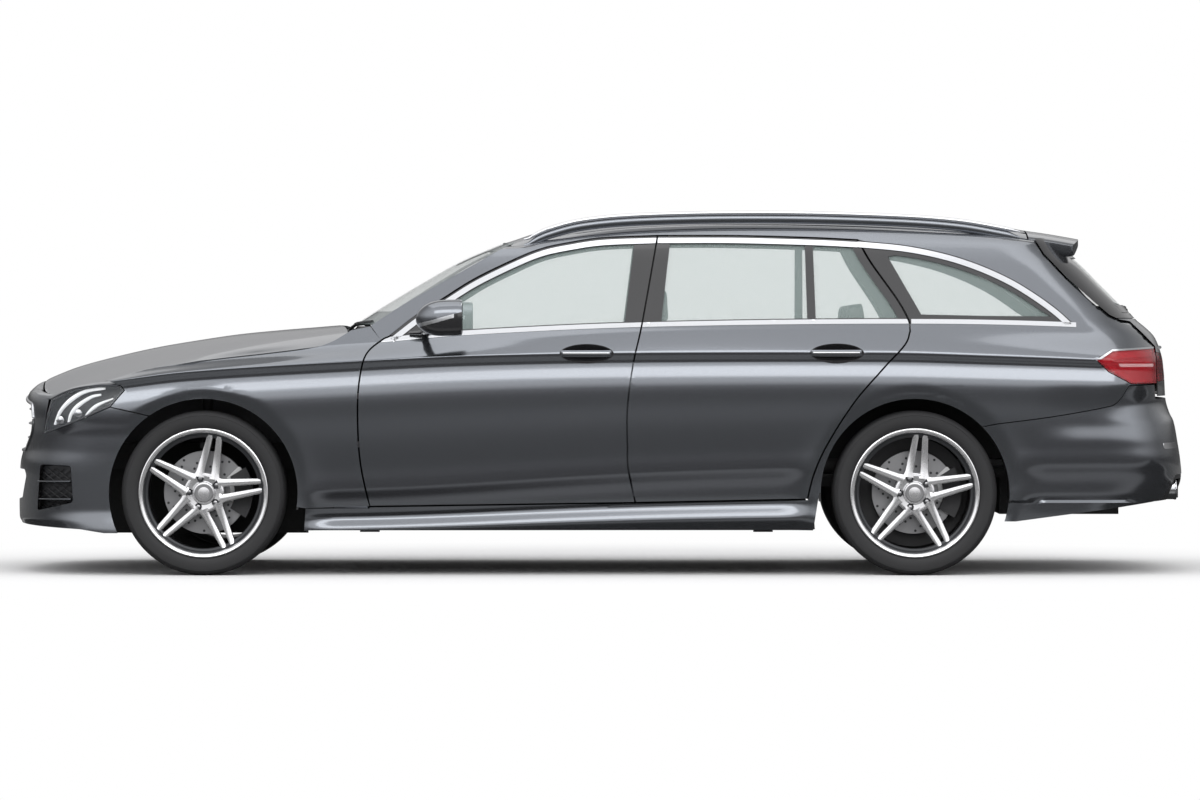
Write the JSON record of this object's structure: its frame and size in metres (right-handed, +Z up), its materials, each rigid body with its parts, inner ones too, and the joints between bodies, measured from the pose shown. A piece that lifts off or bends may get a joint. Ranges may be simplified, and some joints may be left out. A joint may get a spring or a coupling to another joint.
{
  "type": "station wagon",
  "caption": "Five-door station wagon with a long roof, raised roof rails, hinged doors, hood and tailgate, steered front wheels and a fitted cabin.",
  "frame": {"origin": "middle of the overall length, on the ground, on the centre plane", "axes": "-X forwards, +X to the rear, -Y to the car's left side, +Z up"},
  "size_m": [4.9234, 2.2376, 1.512],
  "materials": {
    "paint": "metallic grey paint under clear coat",
    "underbody": "matt dark underbody coating",
    "bright_trim": "bright satin trim",
    "glass": "light green tinted safety glass",
    "black_trim": "dark trim plastic",
    "lamp_clear": "clear lamp cover over a dark housing",
    "lamp_red": "red lamp cover",
    "exhaust": "bright steel",
    "liner": "dark felt-like plastic",
    "dashboard": "soft dark plastic",
    "upholstery": "dark leather",
    "engine": "dark casting",
    "suspension": "dark cast metal",
    "hinge_steel": "coated steel",
    "tyre": "black rubber",
    "rim": "silver paint, machined face",
    "wheel_rim_leather": "black leather"
  },
  "bodies": {
    "body": {"floor_pan": "underbody", "side_frame_left": "paint", "side_frame_right": "paint", "roof_panel": "paint", "roof_rails": "bright_trim", "windshield": "glass", "quarter_windows": "glass", "cowl": "black_trim", "front_fenders": "paint", "front_bumper": "paint", "front_grille": "bright_trim", "headlamps": "lamp_clear", "tail_lamps": "lamp_red", "rear_bumper": "paint", "exhaust": "exhaust", "wheel_liners": "liner", "dashboard": "dashboard", "front_seats": "upholstery", "rear_seat": "upholstery", "engine_block": "engine", "front_suspension": "suspension", "rear_axle": "suspension", "hinge_straps": "hinge_steel"},
    "hood": {"hood": "paint"},
    "tailgate": {"tailgate": "paint", "tailgate_glass": "glass"},
    "door_front_left": {"door_front_left": "paint", "glass_front_left": "glass", "mirror_left": "paint"},
    "door_front_right": {"door_front_right": "paint", "glass_front_right": "glass", "mirror_right": "paint"},
    "door_rear_left": {"door_rear_left": "paint", "glass_rear_left": "glass"},
    "door_rear_right": {"door_rear_right": "paint", "glass_rear_right": "glass"},
    "knuckle_left": {"knuckle_left": "suspension"},
    "knuckle_right": {"knuckle_right": "suspension"},
    "wheel_front_left": {"tyre_front_left": "tyre", "rim_front_left": "rim"},
    "wheel_front_right": {"tyre_front_right": "tyre", "rim_front_right": "rim"},
    "wheel_rear_left": {"tyre_rear_left": "tyre", "rim_rear_left": "rim"},
    "wheel_rear_right": {"tyre_rear_right": "tyre", "rim_rear_right": "rim"},
    "steering_wheel": {"steering_wheel": "wheel_rim_leather"}
  },
  "joints": [
    {"name": "hood_hinge", "type": "hinge", "parent": "body", "child": "hood", "pos_m": [-1.075, 0, 1], "axis": [0, 1, 0], "range_deg": [0, 50]},
    {"name": "tailgate_hinge", "type": "hinge", "parent": "body", "child": "tailgate", "pos_m": [1.741, 0, 1.405], "axis": [0, -1, 0], "range_deg": [0, 80]},
    {"name": "door_front_left_hinge", "type": "hinge", "parent": "body", "child": "door_front_left", "pos_m": [-0.921, -0.905, 0.6], "axis": [0, 0, -1], "range_deg": [0, 70]},
    {"name": "door_front_right_hinge", "type": "hinge", "parent": "body", "child": "door_front_right", "pos_m": [-0.921, 0.905, 0.6], "axis": [0, 0, 1], "range_deg": [0, 70]},
    {"name": "door_rear_left_hinge", "type": "hinge", "parent": "body", "child": "door_rear_left", "pos_m": [0.192, -0.905, 0.6], "axis": [0, 0, -1], "range_deg": [0, 68]},
    {"name": "door_rear_right_hinge", "type": "hinge", "parent": "body", "child": "door_rear_right", "pos_m": [0.192, 0.905, 0.6], "axis": [0, 0, 1], "range_deg": [0, 68]},
    {"name": "steer_left", "type": "hinge", "parent": "body", "child": "knuckle_left", "pos_m": [-1.638, -0.69, 0.34], "axis": [0, 0, 1], "range_deg": [-35, 35]},
    {"name": "steer_right", "type": "hinge", "parent": "body", "child": "knuckle_right", "pos_m": [-1.638, 0.69, 0.34], "axis": [0, 0, 1], "range_deg": [-35, 35]},
    {"name": "spin_front_left", "type": "hinge", "parent": "knuckle_left", "child": "wheel_front_left", "pos_m": [-1.638, -0.79, 0.34], "axis": [0, 1, 0], "continuous": true},
    {"name": "spin_front_right", "type": "hinge", "parent": "knuckle_right", "child": "wheel_front_right", "pos_m": [-1.638, 0.79, 0.34], "axis": [0, 1, 0], "continuous": true},
    {"name": "spin_rear_left", "type": "hinge", "parent": "body", "child": "wheel_rear_left", "pos_m": [1.301, -0.79, 0.34], "axis": [0, 1, 0], "continuous": true},
    {"name": "spin_rear_right", "type": "hinge", "parent": "body", "child": "wheel_rear_right", "pos_m": [1.301, 0.79, 0.34], "axis": [0, 1, 0], "continuous": true},
    {"name": "steering_wheel_turn", "type": "hinge", "parent": "body", "child": "steering_wheel", "pos_m": [-0.52, -0.37, 0.85], "axis": [0.9135, 0, 0.4067], "range_deg": [-500, 500]}
  ],
  "couplings": [
    {"joint": "steer_right", "follows": "steer_left", "ratio": 1},
    {"joint": "steering_wheel_turn", "follows": "steer_left", "ratio": 14}
  ]
}
